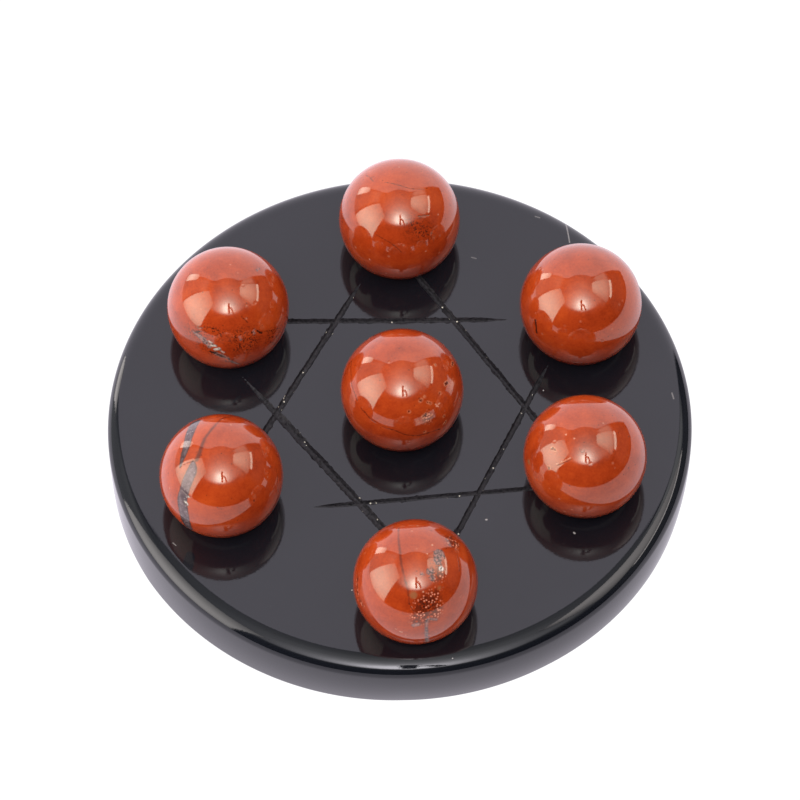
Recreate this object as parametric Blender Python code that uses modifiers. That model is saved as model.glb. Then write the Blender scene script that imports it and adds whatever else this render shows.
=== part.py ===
"""A round polished stone plate with a ground star of lines and seven shallow seats, and a loose stone ball in each.

Metres, +Z up, +Y towards the back. The origin is the centre of the plate's flat underside.
"""

import math

import bmesh
import bpy

MM = 0.001

# Plate
PLATE_RADIUS = 40.0 * MM
PLATE_THICKNESS = 10.3 * MM
TOP_ROUND = 2.2 * MM  # radius of the edge between the top face and the side
BOTTOM_ROUND = 3.5 * MM  # radius of the edge between the side and the underside

# Balls and their seats
BALL_RADIUS = 8.4 * MM
BALL_SINK = 2.55 * MM  # how far a ball reaches below the plate's top face
SEAT_GAP = 0.3 * MM  # clearance under a ball, at the middle of its seat
BALL_HEIGHT = PLATE_THICKNESS - BALL_SINK + BALL_RADIUS  # of a ball's centre

# The seats are the six points of a star and its middle, laid out by eye, so none is quite regular.
SEATS = {
    "back": (0.2, 28.6),
    "back_left": (-23.5, 14.4),
    "back_right": (25.0, 14.3),
    "centre": (0.3, 0.8),
    "front_left": (-24.3, -12.5),
    "front_right": (25.0, -10.1),
    "front": (1.8, -29.3),
}

# Each groove joins two points of the star, as two crossed triangles: start, end and width in millimetres.
# An end inside a seat is cut at full depth, and an end that stops short of one runs out to nothing.
GROOVES = {
    "back_left_to_back_right": ((-19.0, 15.7), (15.2, 15.6), 0.7),
    "back_to_front_left": ((-3.3, 25.7), (-21.9, -8.4), 0.8),
    "back_to_front_right": ((1.7, 24.3), (22.5, -6.4), 0.8),
    "back_left_to_front": ((-21.5, 6.3), (2.7, -24.2), 1.1),
    "back_right_to_front": ((20.6, 8.5), (4.2, -25.4), 0.7),
    "front_left_to_front_right": ((-12.5, -14.2), (20.4, -11.3), 0.6),
}
WHEEL_LIFT = 0.1 * MM  # height of a groove's round section's centre above the top face
RUN_OUT = 5.0 * MM  # length over which a groove fades to nothing
RUN_OUT_STEPS = 4
RUN_OUT_TIP = 0.05  # share of the full section left at the very tip, which is above the stone

# Facets
PLATE_STEPS = 96
ROUND_STEPS = 6  # along each rounded edge
BALL_SEGMENTS = 32
BALL_RINGS = 16
WELD = 0.001 * MM

OBSIDIAN = (0.012, 0.012, 0.014)
JASPER = (0.45, 0.06, 0.02)


def clear_scene():
    for thing in list(bpy.data.objects):
        bpy.data.objects.remove(thing, do_unlink=True)


def new_collection(name):
    collection = bpy.data.collections.new(name)
    bpy.context.scene.collection.children.link(collection)
    return collection


def new_material(name, colour, roughness):
    material = bpy.data.materials.new(name)
    material.use_nodes = True
    shader = material.node_tree.nodes["Principled BSDF"]
    shader.inputs["Base Color"].default_value = (*colour, 1.0)
    shader.inputs["Roughness"].default_value = roughness
    shader.inputs["Metallic"].default_value = 0.0
    material.diffuse_color = (*colour, 1.0)
    return material


def add_object(name, data, collection, location=(0.0, 0.0, 0.0)):
    thing = bpy.data.objects.new(name, data)
    thing.location = location
    collection.objects.link(thing)
    return thing


def as_cutter(thing):
    thing.hide_render = True
    thing.display_type = "WIRE"
    return thing


def arc(centre_x, centre_z, radius, start_degrees):
    """A quarter turn, clockwise from its start: points of a profile in the XZ plane."""
    points = []
    for step in range(ROUND_STEPS + 1):
        angle = math.radians(start_degrees - 90.0 * step / ROUND_STEPS)
        points.append((centre_x + radius * math.cos(angle), centre_z + radius * math.sin(angle)))
    return points


def ball_mesh(name, material):
    ball = bmesh.new()
    bmesh.ops.create_uvsphere(ball, u_segments=BALL_SEGMENTS, v_segments=BALL_RINGS, radius=BALL_RADIUS)
    mesh = bpy.data.meshes.new(name)
    ball.to_mesh(mesh)
    ball.free()
    mesh.shade_smooth()
    if material:
        mesh.materials.append(material)
    return mesh


def add_plate_blank(collection, material):
    """The plate before any cut: a profile turned about the Z axis."""
    outline = [(0.0, PLATE_THICKNESS)]
    outline += arc(PLATE_RADIUS - TOP_ROUND, PLATE_THICKNESS - TOP_ROUND, TOP_ROUND, 90.0)
    outline += arc(PLATE_RADIUS - BOTTOM_ROUND, BOTTOM_ROUND, BOTTOM_ROUND, 0.0)
    outline.append((0.0, 0.0))
    mesh = bpy.data.meshes.new("base_plate")
    points = [(x, 0.0, z) for x, z in outline]
    mesh.from_pydata(points, [(i, i + 1) for i in range(len(points) - 1)], [])
    mesh.materials.append(material)
    plate = add_object("base_plate", mesh, collection)
    turn = plate.modifiers.new("turned profile", "SCREW")
    turn.axis = "Z"
    turn.steps = PLATE_STEPS
    turn.render_steps = PLATE_STEPS
    turn.use_merge_vertices = True
    turn.merge_threshold = WELD
    turn.use_smooth_shade = True
    return plate


def cut(thing, cutter):
    boolean = thing.modifiers.new(cutter.name, "BOOLEAN")
    boolean.operation = "DIFFERENCE"
    boolean.solver = "EXACT"
    boolean.object = cutter


def add_seat_cutters(collection):
    """Each seat is the ball's own sphere, let down by the gap."""
    mesh = ball_mesh("seat_cutter", None)
    cutters = []
    for name, (x, y) in SEATS.items():
        location = (x * MM, y * MM, BALL_HEIGHT - SEAT_GAP)
        cutters.append(as_cutter(add_object(f"seat_cutter_{name}", mesh, collection, location)))
    return cutters


def ends_in_a_seat(point):
    seat_radius = math.sqrt(BALL_RADIUS**2 - (BALL_HEIGHT - SEAT_GAP - PLATE_THICKNESS) ** 2)
    return any(math.dist(point, seat) * MM < seat_radius for seat in SEATS.values())


def groove_stations(start, end):
    """Distances along a groove with the share of its full section there."""
    length = math.dist(start, end) * MM
    stations = [(0.0, 1.0), (length, 1.0)]
    for at_start, point in ((True, start), (False, end)):
        if ends_in_a_seat(point):
            continue
        stations.remove((0.0, 1.0) if at_start else (length, 1.0))
        for step in range(RUN_OUT_STEPS + 1):
            share = max(RUN_OUT_TIP, math.sin(0.5 * math.pi * step / RUN_OUT_STEPS))
            from_tip = RUN_OUT * step / RUN_OUT_STEPS
            stations.append((from_tip if at_start else length - from_tip, share))
    return sorted(stations), length


def add_groove_cutter(name, start, end, width, collection):
    """A round bar laid along the top face, drawn out to a tip where the grinding wheel was lifted."""
    bar_radius = math.hypot(0.5 * width * MM, WHEEL_LIFT)
    stations, length = groove_stations(start, end)
    data = bpy.data.curves.new(f"groove_bar_{name}", "CURVE")
    data.dimensions = "3D"
    data.bevel_depth = bar_radius
    data.bevel_resolution = 2
    data.use_fill_caps = True
    line = data.splines.new("POLY")
    line.points.add(len(stations) - 1)
    for point, (along, share) in zip(line.points, stations):
        x = (start[0] + (end[0] - start[0]) * along / length) * MM
        y = (start[1] + (end[1] - start[1]) * along / length) * MM
        point.co = (x, y, PLATE_THICKNESS + WHEEL_LIFT, 1.0)
        point.radius = share
    return as_cutter(curve_to_mesh(add_object(data.name, data, collection), f"groove_cutter_{name}", collection))


def curve_to_mesh(curve, name, collection):
    """Replaces a bevelled curve by a closed mesh of the same shape."""
    bpy.context.view_layer.update()
    evaluated = curve.evaluated_get(bpy.context.evaluated_depsgraph_get())
    mesh = bpy.data.meshes.new_from_object(evaluated)
    welded = bmesh.new()
    welded.from_mesh(mesh)
    bmesh.ops.remove_doubles(welded, verts=welded.verts, dist=WELD)
    welded.to_mesh(mesh)
    welded.free()
    solid = add_object(name, mesh, collection)
    solid.matrix_world = curve.matrix_world
    bpy.data.objects.remove(curve, do_unlink=True)
    return solid


def add_balls(collection, material, plate):
    """Seven equal balls. Each has its origin at its centre, on the line that it lifts along."""
    mesh = ball_mesh("ball", material)
    for name, (x, y) in SEATS.items():
        ball = add_object(f"ball_{name}", mesh, collection, (x * MM, y * MM, BALL_HEIGHT))
        ball.parent = plate


def main():
    clear_scene()
    parts = new_collection("stone_ball_plate")
    cutters = new_collection("cutters")
    obsidian = new_material("polished_obsidian", OBSIDIAN, 0.05)
    jasper = new_material("polished_jasper", JASPER, 0.12)

    plate = add_plate_blank(parts, obsidian)
    for cutter in add_seat_cutters(cutters):
        cut(plate, cutter)
    for name, (start, end, width) in GROOVES.items():
        cut(plate, add_groove_cutter(name, start, end, width, cutters))
    add_balls(parts, jasper, plate)


main()
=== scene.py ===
"""Stone ball board: seven polished red jasper balls seated on a round black obsidian plate.

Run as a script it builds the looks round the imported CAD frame: a turned plate with ground lines and
seats, seven balls with their own veins and spots, and a plain white studio.
"""

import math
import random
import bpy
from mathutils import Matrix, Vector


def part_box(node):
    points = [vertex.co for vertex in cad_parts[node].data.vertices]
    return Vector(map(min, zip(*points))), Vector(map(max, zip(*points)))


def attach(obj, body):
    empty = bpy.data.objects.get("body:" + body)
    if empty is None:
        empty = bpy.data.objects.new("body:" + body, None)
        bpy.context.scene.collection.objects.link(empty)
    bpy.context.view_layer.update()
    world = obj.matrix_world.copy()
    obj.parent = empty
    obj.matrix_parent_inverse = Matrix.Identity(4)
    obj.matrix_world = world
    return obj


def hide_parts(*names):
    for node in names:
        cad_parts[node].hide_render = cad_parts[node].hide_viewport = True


bl_info = {
    "name": "Stone Ball Board",
    "version": (1, 0, 0),
    "blender": (4, 5, 0),
    "location": "3D View > Sidebar > Stone Board",
    "description": "Builds an obsidian plate with ground lines and seven jasper balls",
    "category": "Object",
}

import bmesh
import bpy
import numpy as np
from bpy.props import FloatProperty, FloatVectorProperty, IntProperty, PointerProperty
from mathutils import Matrix, Vector, noise

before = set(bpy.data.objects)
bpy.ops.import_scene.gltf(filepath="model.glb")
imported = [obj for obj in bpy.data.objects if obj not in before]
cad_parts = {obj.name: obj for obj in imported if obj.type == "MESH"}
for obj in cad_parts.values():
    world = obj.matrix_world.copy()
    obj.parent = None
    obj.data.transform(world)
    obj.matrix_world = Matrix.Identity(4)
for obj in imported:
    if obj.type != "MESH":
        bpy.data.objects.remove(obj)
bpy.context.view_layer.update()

MM = 0.001
PER_MM = 1.0 / MM

# ---------------------------------------------------------------- sizes taken from the frame

PLATE_LOW, PLATE_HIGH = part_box("base_plate")
PLATE_RADIUS = (PLATE_HIGH.x - PLATE_LOW.x) / 2
PLATE_TOP = PLATE_HIGH.z

BALLS = {
    "ball_back": "back_ball",
    "ball_back_left": "back_left_ball",
    "ball_back_right": "back_right_ball",
    "ball_centre": "centre_ball",
    "ball_front_left": "front_left_ball",
    "ball_front_right": "front_right_ball",
    "ball_front": "front_ball",
}


def ball_centre(node_name):
    """Middle of a ball, from its CAD box."""
    low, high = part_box(node_name)
    return (low + high) / 2


def ball_radius(node_name):
    """Radius of a ball, from its CAD box."""
    low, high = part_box(node_name)
    return min(high - low) / 2


# ---------------------------------------------------------------- ground lines, in millimetres
# Each line: start, end, width, and how long an end takes to run out where no ball stands on it.

LINES = (
    ((-19.0, 15.7), (15.2, 15.6), 0.78, 5.0),
    ((-5.0, 22.3), (-22.1, -8.4), 0.90, 6.0),
    ((1.7, 24.3), (22.5, -6.4), 0.9, 5.0),
    ((-22.0, 7.2), (2.7, -24.2), 1.15, 11.0),
    ((20.6, 8.5), (4.2, -25.4), 0.80, 5.0),
    ((-12.5, -14.2), (20.4, -11.3), 0.70, 5.0),
)
SEAT_RADIUS = 6.0  # a line that ends this near a ball's middle keeps its full depth to the end

# How the wheel left the lines: spacing of the cuts' sections, chance and size of a chipped edge, how much
# of a chip is left one section on, and the raggedness of the edges and of the floor as shares.
STATION_STEP = 0.3
CHIP_CHANCE, CHIP_SIZE, CHIP_LEFT = 0.07, (0.05, 0.17), 0.45
RAGGED_EDGE, RAGGED_FLOOR = 0.12, 0.16
LIP, ABOVE = 0.14, 0.30  # the cutter flares this far out and stands this far above the plate

LINE_SEED = 20
SHARP_ANGLE = math.radians(24)

# ---------------------------------------------------------------- where the balls' marks are laid out from

VIEWPOINT = Vector((0.0, -0.4522, 0.7586))
AIM_POINT = Vector((0.0, 0.0066, 0.0040))

# Marks on each ball, by layer. A row is the half width in millimetres, one or one for each point, then
# points as (right, up) in ball radii, counted from the middle of the ball as it is seen from VIEWPOINT.
# One point is a spot, more are a line.

MARKS = {
    "ball_centre": {
        "dark": ((0.05, (-0.817, 0.48), (-0.825, 0.3), (-0.82, 0.12), (-0.77, -0.04), (-0.72, -0.17)),
                 (0.06, (-0.675, -0.28), (-0.6, -0.36), (-0.53, -0.445), (-0.42, -0.53)),
                 (0.07, (-0.32, -0.59), (-0.13, -0.65), (0.04, -0.72), (0.23, -0.742), (0.42, -0.695),
                  (0.61, -0.635))),
        "hole": ((0.2, (0.7, 0.09), (0.73, 0.11)), (0.1, (0.29, -0.18), (0.31, -0.16)),
                 (0.06, (0.36, -0.11)), (0.06, (0.41, -0.2), (0.46, -0.22)), (0.09, (0.11, -0.35)),
                 (0.17, (0.34, -0.43), (0.38, -0.4)), (0.08, (0.47, -0.41)), (0.1, (0.67, -0.43)),
                 (0.11, (0.68, -0.55), (0.7, -0.52)), (0.08, (0.36, -0.68)),
                 (0.12, (0.81, 0.4), (0.83, 0.44)), (0.1, (0.93, -0.17)), (0.06, (0.61, -0.05)),
                 (0.07, (0.54, 0.4)), (0.08, (0.79, 0.52))),
        "chip": ((0.08, (0.55, -0.27), (0.57, -0.25), (0.6, -0.22)), (0.06, (0.54, -0.23), (0.58, -0.27))),
        "pale": ((0.55, (0.39, -0.48)), (0.5, (0.8, 0.05), (0.82, 0.11)),
                 (0.12, (0.27, -0.53), (0.24, -0.5))),
        "grain": ((0.8, (0.42, -0.45)),),
        "freckle": ((2.3, (0.48, -0.38)),),
    },
    "ball_front_left": {
        "brown": (((0.07, 0.11, 0.15, 0.2, 0.23, 0.26, 0.3, 0.28), (0.31, 0.93), (0.1, 0.93),
                   (-0.04, 0.83), (-0.15, 0.71), (-0.23, 0.61), (-0.29, 0.48), (-0.345, 0.35),
                   (-0.38, 0.28)),),
        "grey": (((0.72, 0.68, 0.6, 0.5, 0.36, 0.08), (-0.37, 0.88), (-0.45, 0.74), (-0.51, 0.58),
                  (-0.55, 0.455), (-0.6, 0.33), (-0.65, 0.19)),
                 ((0.34, 0.68, 0.74, 0.74, 0.74, 0.8, 0.78, 0.62), (-0.44, 0.225), (-0.46, 0.12),
                  (-0.51, 0.02), (-0.56, -0.08), (-0.62, -0.24), (-0.65, -0.365), (-0.63, -0.6),
                  (-0.57, -0.8))),
        "dark": ((0.05, (-0.665, 0.16), (-0.59, 0.22), (-0.435, 0.27)),
                 (0.05, (-0.65, -0.17), (-0.58, -0.25), (-0.51, -0.31)),
                 (0.04, (0.886, 0.07), (0.9, -0.2), (0.89, -0.4), (0.855, -0.5)), (0.13, (0.5, -0.43))),
        "quartz": ((0.15, (-0.545, -0.3)), (0.2, (-0.6, -0.38), (-0.575, -0.42))),
        "freckle": ((1.0, (-0.43, -0.35), (0.0, -0.4), (0.39, -0.4)), (1.1, (0.1, -0.36), (0.34, -0.38))),
    },
    "ball_back_left": {
        "quartz": ((0.14, (-0.34, -0.53), (-0.3, -0.56)), (0.2, (-0.31, -0.6), (-0.24, -0.61)),
                   (0.22, (-0.25, -0.67), (-0.18, -0.66)), (0.12, (-0.15, -0.7), (-0.11, -0.73))),
        "olive": (((0.1, 0.34, 0.42, 0.3), (-0.59, -0.36), (-0.49, -0.44), (-0.41, -0.52),
                   (-0.34, -0.62)), ((0.34, 0.4, 0.3), (-0.25, -0.73), (-0.15, -0.78), (-0.06, -0.82)),
                  ((0.14, 0.24, 0.12), (-0.03, -0.86), (0.05, -0.9), (0.12, -0.93)),
                  (0.14, (0.5, 0.58), (0.53, 0.61))),
        "dark": ((0.2, (-0.33, -0.7), (-0.25, -0.73)), (0.16, (-0.2, -0.76), (-0.145, -0.78)),
                 (0.1, (-0.59, -0.33), (-0.53, -0.37), (-0.47, -0.36)),
                 (0.05, (-0.49, -0.3), (-0.32, -0.31), (-0.145, -0.38)),
                 (0.07, (0.21, -0.16), (0.31, -0.26)), (0.15, (0.45, -0.4), (0.52, -0.445)),
                 (0.06, (0.57, -0.42), (0.67, -0.41), (0.79, -0.38))),
        "specks": ((0.9, (-0.63, -0.36), (-0.38, -0.36), (-0.15, -0.42)),
                   (0.7, (-0.47, -0.55), (-0.33, -0.7), (-0.08, -0.84)), (2.3, (0.25, -0.56)),
                   (1.6, (0.72, -0.51)), (1.1, (-0.53, -0.36))),
    },
    "ball_front": {
        "brown": (((0.08, 0.12, 0.14, 0.12, 0.1, 0.08, 0.06), (-0.26, 0.86), (-0.26, 0.66), (-0.24, 0.46),
                   (-0.22, 0.28), (-0.17, 0.05), (-0.12, -0.15), (-0.1, -0.35)),),
        "dark": ((0.04, (-0.1, -0.35), (-0.03, -0.48), (-0.02, -0.55)),
                 (0.04, (0.67, 0.41), (0.69, 0.29), (0.7, 0.155))),
        "olive": ((0.8, (0.38, 0.43)), (0.58, (0.35, 0.33)), (0.48, (0.235, 0.155)),
                  (0.38, (0.27, 0.054)), (0.22, (0.105, 0.125)),
                  ((0.34, 0.24, 0.2), (0.18, -0.956), (0.165, -0.78), (0.18, -0.6)),
                  (0.18, (0.19, -0.59), (0.33, -0.6)), (0.34, (-0.03, -0.69), (0.03, -0.68))),
        "quartz": ((0.38, (0.41, 0.205)),),
        "tan": ((0.26, (0.38, -0.1)), (0.48, (-0.03, -0.21))),
        "chip": ((0.12, (0.275, 0.58)), (0.11, (0.186, 0.44)), (0.1, (0.118, -0.16)),
                 (0.07, (-0.31, -0.75)), (0.07, (-0.25, -0.79), (-0.22, -0.8)), (0.06, (-0.16, -0.85))),
        "grain": ((2.0, (0.2, -0.43)), (0.9, (0.3, -0.22)), (1.1, (0.05, -0.58)), (0.9, (0.36, 0.1)),
                  (1.1, (0.6, 0.62)),
                  (0.35, (-0.92, 0.08), (-0.93, -0.08), (-0.91, -0.22), (-0.86, -0.35))),
        "specks": ((1.2, (0.6, 0.62)), (1.0, (0.36, 0.3)), (1.4, (0.2, -0.36))),
    },
    "ball_back": {
        "dark": ((0.04, (-0.385, -0.25), (-0.236, -0.34), (-0.087, -0.44), (0.04, -0.55)),
                 (0.04, (-0.25, 0.61), (-0.02, 0.56), (0.19, 0.495), (0.41, 0.48)),
                 (0.06, (-0.54, 0.72), (-0.47, 0.68), (-0.42, 0.62)), (0.05, (-0.47, 0.68), (-0.4, 0.71)),
                 (0.05, (0.31, 0.047), (0.4, 0.05), (0.486, 0.06)), (0.1, (0.448, -0.214))),
        "chip": ((0.1, (0.635, 0.06)), (0.09, (-0.2, -0.525)), (0.09, (0.43, -0.53)),
                 (0.08, (-0.5, -0.66))),
        "specks": ((1.2, (0.24, -0.13), (0.44, -0.24)),),
    },
    "ball_back_right": {
        "dark": ((0.15, (-0.73, -0.285), (-0.715, -0.38), (-0.7, -0.49)), (0.08, (0.4, -0.23))),
        "freckle": ((1.4, (0.3, -0.45)),),
    },
    "ball_front_right": {
        "chip": ((0.09, (-0.32, 0.34)), (0.09, (-0.18, 0.29)),
                 (0.06, (-0.45, -0.137), (-0.34, -0.09), (-0.233, -0.027))),
        "hole": ((0.09, (-0.54, 0.11), (-0.51, 0.115), (-0.48, 0.08)), (0.16, (-0.57, -0.2))),
        "dark": ((0.04, (-0.44, -0.16), (-0.34, -0.115), (-0.22, -0.05)),
                 (0.04, (-0.1, 0.13), (-0.04, 0.06), (-0.02, 0.1)), (0.09, (0.69, 0.35)),
                 (0.09, (0.81, -0.1))),
        "tan": ((0.35, (-0.9, -0.12)),),
        "freckle": ((1.6, (-0.8, -0.15)),),
    },
}
NO_MARK = 9.0


# ---------------------------------------------------------------- small helpers


def colour(code):
    """Turn an sRGB hex code into linear red, green and blue."""
    values = [int(code[i:i + 2], 16) / 255 for i in (1, 3, 5)]
    return tuple(v / 12.92 if v <= 0.04045 else ((v + 0.055) / 1.055) ** 2.4 for v in values)


def paint(code):
    """Linear colour with alpha, for shader sockets."""
    return (*colour(code), 1.0)


def node(tree, kind, inputs=None, stops=(), **settings):
    """Add one shader node, with its settings, its values, the links into it and any colour stops."""
    made = tree.nodes.new("ShaderNode" + kind)
    for key, value in settings.items():
        setattr(made, key, value)
    for k, (position, value) in enumerate(stops):
        elements = made.color_ramp.elements
        element = elements[k] if k < len(elements) else elements.new(position)
        element.position = position
        element.color = value
    for key, value in (inputs or {}).items():
        if isinstance(key, str):
            socket = next(s for s in made.inputs if s.enabled and s.name == key)
        else:
            socket = made.inputs[key]
        if isinstance(value, bpy.types.Node):
            value = next(s for s in value.outputs if s.enabled)
        if isinstance(value, bpy.types.NodeSocket):
            tree.links.new(value, socket)
        else:
            socket.default_value = value
    return made


def empty_tree(owner):
    """Switch a material or the world to nodes, and clear them."""
    owner.use_nodes = True
    owner.node_tree.nodes.clear()
    return owner.node_tree


def mesh_object(name, mesh):
    """Put a mesh into the scene."""
    made = bpy.data.objects.new(name, mesh)
    bpy.context.scene.collection.objects.link(made)
    return made


def finished(form, name):
    """Turn a worked form into a mesh and free the form."""
    mesh = bpy.data.meshes.new(name)
    form.to_mesh(mesh)
    form.free()
    return mesh


def surface_in_mm(tree):
    """Position on the piece, in millimetres, so that pattern scales are real sizes."""
    place = node(tree, "TexCoord").outputs["Object"]
    return node(tree, "VectorMath", {0: place, "Scale": PER_MM}, operation="SCALE")


# ---------------------------------------------------------------- settings


class StoneBoardPlate(bpy.types.PropertyGroup):
    """Sizes and colours of the plate."""

    top_round: FloatProperty(name="Top round", description="Height of the rounded upper edge",
                             default=1.9 * MM, min=0.0005, max=0.004, subtype="DISTANCE", unit="LENGTH")
    top_ease: FloatProperty(name="Top ease", description="How far the upper edge reaches in over the top",
                            default=2.75 * MM, min=0.0005, max=0.006, subtype="DISTANCE", unit="LENGTH")
    bottom_round: FloatProperty(name="Bottom round", description="Radius of the rounded lower edge",
                                default=1.0 * MM, min=0.0005, max=0.004, subtype="DISTANCE", unit="LENGTH")
    side_lean: FloatProperty(name="Side lean", description="How far the barrel side has turned under where "
                             "it meets the bottom round", default=math.radians(14), min=0.0,
                             max=math.radians(30), subtype="ANGLE", unit="ROTATION")
    egg: FloatProperty(name="Egg", description="How far the hand-ground outline strays from a circle",
                       default=0.12 * MM, min=0.0, max=0.0005, subtype="DISTANCE", unit="LENGTH")
    line_depth: FloatProperty(name="Line depth", description="Depth of the ground lines",
                              default=0.5 * MM, min=0.0001, max=0.001, subtype="DISTANCE", unit="LENGTH")
    seat_clearance: FloatProperty(name="Seat clearance", description="Gap between a ball and its seat",
                                  default=0.08 * MM, min=0.00002, max=0.0003, subtype="DISTANCE",
                                  unit="LENGTH")
    polish_colour: FloatVectorProperty(name="Polished stone", description="Body colour under the polish",
                                       default=colour("#101217"), min=0.0, max=1.0, subtype="COLOR")
    ground_colour: FloatVectorProperty(name="Ground stone", description="Grey of the unpolished cuts",
                                       default=colour("#2A292C"), min=0.0, max=1.0, subtype="COLOR")
    segments: IntProperty(name="Segments", description="Steps round the rim", default=320, min=64, max=512)


class StoneBoardBalls(bpy.types.PropertyGroup):
    """Sizes and colours of the balls."""

    body_colour: FloatVectorProperty(name="Jasper", description="Main brick red of the stone",
                                     default=colour("#A03814"), min=0.0, max=1.0, subtype="COLOR")
    deep_colour: FloatVectorProperty(name="Deep jasper", description="Darker clouds in the stone",
                                     default=colour("#8A2C0E"), min=0.0, max=1.0, subtype="COLOR")
    warm_colour: FloatVectorProperty(name="Orange jasper", description="Lighter orange clouds in the stone",
                                     default=colour("#B04419"), min=0.0, max=1.0, subtype="COLOR")
    out_of_round: FloatProperty(name="Out of round", description="How far a hand-finished ball strays from "
                                "a true sphere", default=0.012 * MM, min=0.0, max=0.0001,
                                subtype="DISTANCE", unit="LENGTH")
    pits: IntProperty(name="Pits", description="Small open pits on each ball", default=26, min=0, max=200)
    fineness: IntProperty(name="Fineness", description="Subdivisions of the ball's mesh", default=7, min=4,
                          max=7)


class StoneBoardStudio(bpy.types.PropertyGroup):
    """Camera and light."""

    lens: FloatProperty(name="Lens", description="Focal length of the camera", default=286.8, min=20.0,
                        max=600.0, subtype="DISTANCE_CAMERA", unit="CAMERA")
    roll: FloatProperty(name="Roll", description="Small tilt of the camera about its own axis",
                        default=math.radians(-0.64), min=-0.2, max=0.2, subtype="ANGLE", unit="ROTATION")
    softbox: FloatProperty(name="Softbox", description="Radiance of the tall softbox on the left",
                           default=4.9, min=0.0, max=50.0)
    backdrop: FloatProperty(name="Backdrop", description="Radiance of the white sweep behind the plate",
                            default=1.63, min=0.0, max=50.0)
    lamp: FloatProperty(name="Lamp", description="Radiance of the lamp over the camera", default=13.0,
                        min=0.0, max=50.0)


# ---------------------------------------------------------------- studio

# Cards round the board: name, azimuth from and to, elevation from and to (degrees; 0 is straight
# back, 90 is right), distance in metres, corner hardness, how far its sides droop (1 is a flat card),
# then radiance at even steps from low to high and from left to right, as shares of its own radiance.

CARDS = (
    ("Backdrop", (-50.0, 47.0), (-8.0, 65.2), 1.1, 9.0, 0.5, (1.0, 1.0, 0.97, 0.95, 1.0, 1.08),
     (0.95, 0.97, 1.0)),
    ("Tall softbox", (-129.0, -80.0), (1.0, 58.0), 0.5, 26.0, 1.0,
     (0.55, 0.92, 1.03, 1.0, 0.82, 0.60, 0.36), (0.84, 0.95, 1.04, 1.0, 0.88)),
    ("Strip light", (-55.0, -45.5), (1.0, 27.0), 0.8, 5.0, 1.0, (0.4, 0.95, 1.0, 0.7, 0.45), (1.0, 1.0)),
    ("Right panel", (60.0, 113.0), (36.5, 69.5), 0.9, 9.0, 1.0,
     (0.42, 0.70, 0.85, 0.95, 1.05, 0.95), (0.85, 1.0, 1.08, 0.90, 0.45)),
    ("Right panel edge", (62.0, 98.5), (31.8, 36.6), 0.89, 6.0, 1.0, (0.6, 1.15, 0.8), (1.0, 1.0)),
)
CARD_STEPS = 48
STRIP_RADIANCE, PANEL_RADIANCE, PANEL_EDGE_RADIANCE = 6.0, 3.3, 5.0

# The white sheets look a little violet in the stones, the lamps nearly neutral.
COOL_WHITE = "#F8F2FF"
SOFTBOX_WHITE = "#FFF9F6"
LAMP_WHITE = "#F6F3FA"
PANEL_WHITE = "#FFF7F4"

FLOOR_RADIUS = 3.0
FLOOR_GAP = 0.02 * MM

# Brightness of bare floor and room to the camera, high enough to be pure white.
CLEAN_WHITE = 1.1

# The lamp over the camera: where its glow is centred and the elevations between which it is cut off.
LAMP_AT = (180.0, 55.5)
LAMP_CUT = (42.0, 49.5)
GLOW_REACH = math.radians(60.0)
GLOW = ((0.0, 1.0), (0.08, 0.95), (0.13, 0.75), (0.17, 0.55), (0.22, 0.38), (0.30, 0.22), (0.40, 0.12),
        (0.55, 0.04), (0.80, 0.0))

# Radiance of the ceiling at shares of the way from level to straight up.
CEILING = ((0.0, 0.0), (0.38, 0.02), (0.55, 0.25), (0.72, 0.45), (0.95, 0.75))

# Dim parts of the room: azimuth, half width, elevation, half height, softness (degrees), radiance.
ROOM = (
    (-66.0, 15.0, 20.0, 32.0, 5.0, 0.62),
    (53.0, 9.0, 48.0, 12.0, 5.0, 1.2),
    (112.0, 14.0, 48.0, 10.0, 8.0, 0.4),
    (80.0, 30.0, 18.0, 14.0, 8.0, 0.12),
)

# Radiance of the floor's glow in the stones: in the open, and in a painted shadow of the plate, which ends at
# SHADE_END.
OPEN_FLOOR = 1.36
OPEN_SLOPE = (-0.12, 0.25, 0.0)
SHADED_FLOOR = 0.66
SHADED_SLOPE, SHADED_CURVE = -0.12, 0.27
FRONT_LIFT = 0.42
SHADE_START, SHADE_END = 41 * MM, 60 * MM

# The stand that holds the camera, as (right, up) in degrees from the camera, with its half width.
STAND_DISTANCE = 0.84
STAND = (
    (((1.5, 8.0), (1.2, 3.0), (1.4, -3.0), (1.6, -12.0)), 1.8),
    (((1.4, -1.0), (5.0, -0.6), (7.0, -4.0), (9.5, -12.0)), 1.5),
    (((0.4, 0.5), (4.0, -1.5)), 1.6),
)


def direction(azimuth, elevation):
    """Unit vector for an azimuth and elevation in degrees."""
    a, e = math.radians(azimuth), math.radians(elevation)
    return Vector((math.sin(a) * math.cos(e), math.cos(a) * math.cos(e), math.sin(e)))


def glow_material(name, radiance, tint):
    """Lit diffuser cloth: the cloth's weave is far too fine to see, so only its brightness is drawn."""
    material = bpy.data.materials.new(name)
    tree = empty_tree(material)
    level = node(tree, "Attribute", attribute_name="radiance").outputs["Fac"]
    strength = node(tree, "Math", {0: level, 1: radiance}, operation="MULTIPLY")
    light = node(tree, "Emission", {"Color": paint(tint), "Strength": strength})
    node(tree, "OutputMaterial", {"Surface": light})
    return material


def between(levels, share):
    """Value at a share of the way along evenly spaced levels."""
    along = share * (len(levels) - 1)
    k = min(int(along), len(levels) - 2)
    return levels[k] + (levels[k + 1] - levels[k]) * (along - k)


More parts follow.
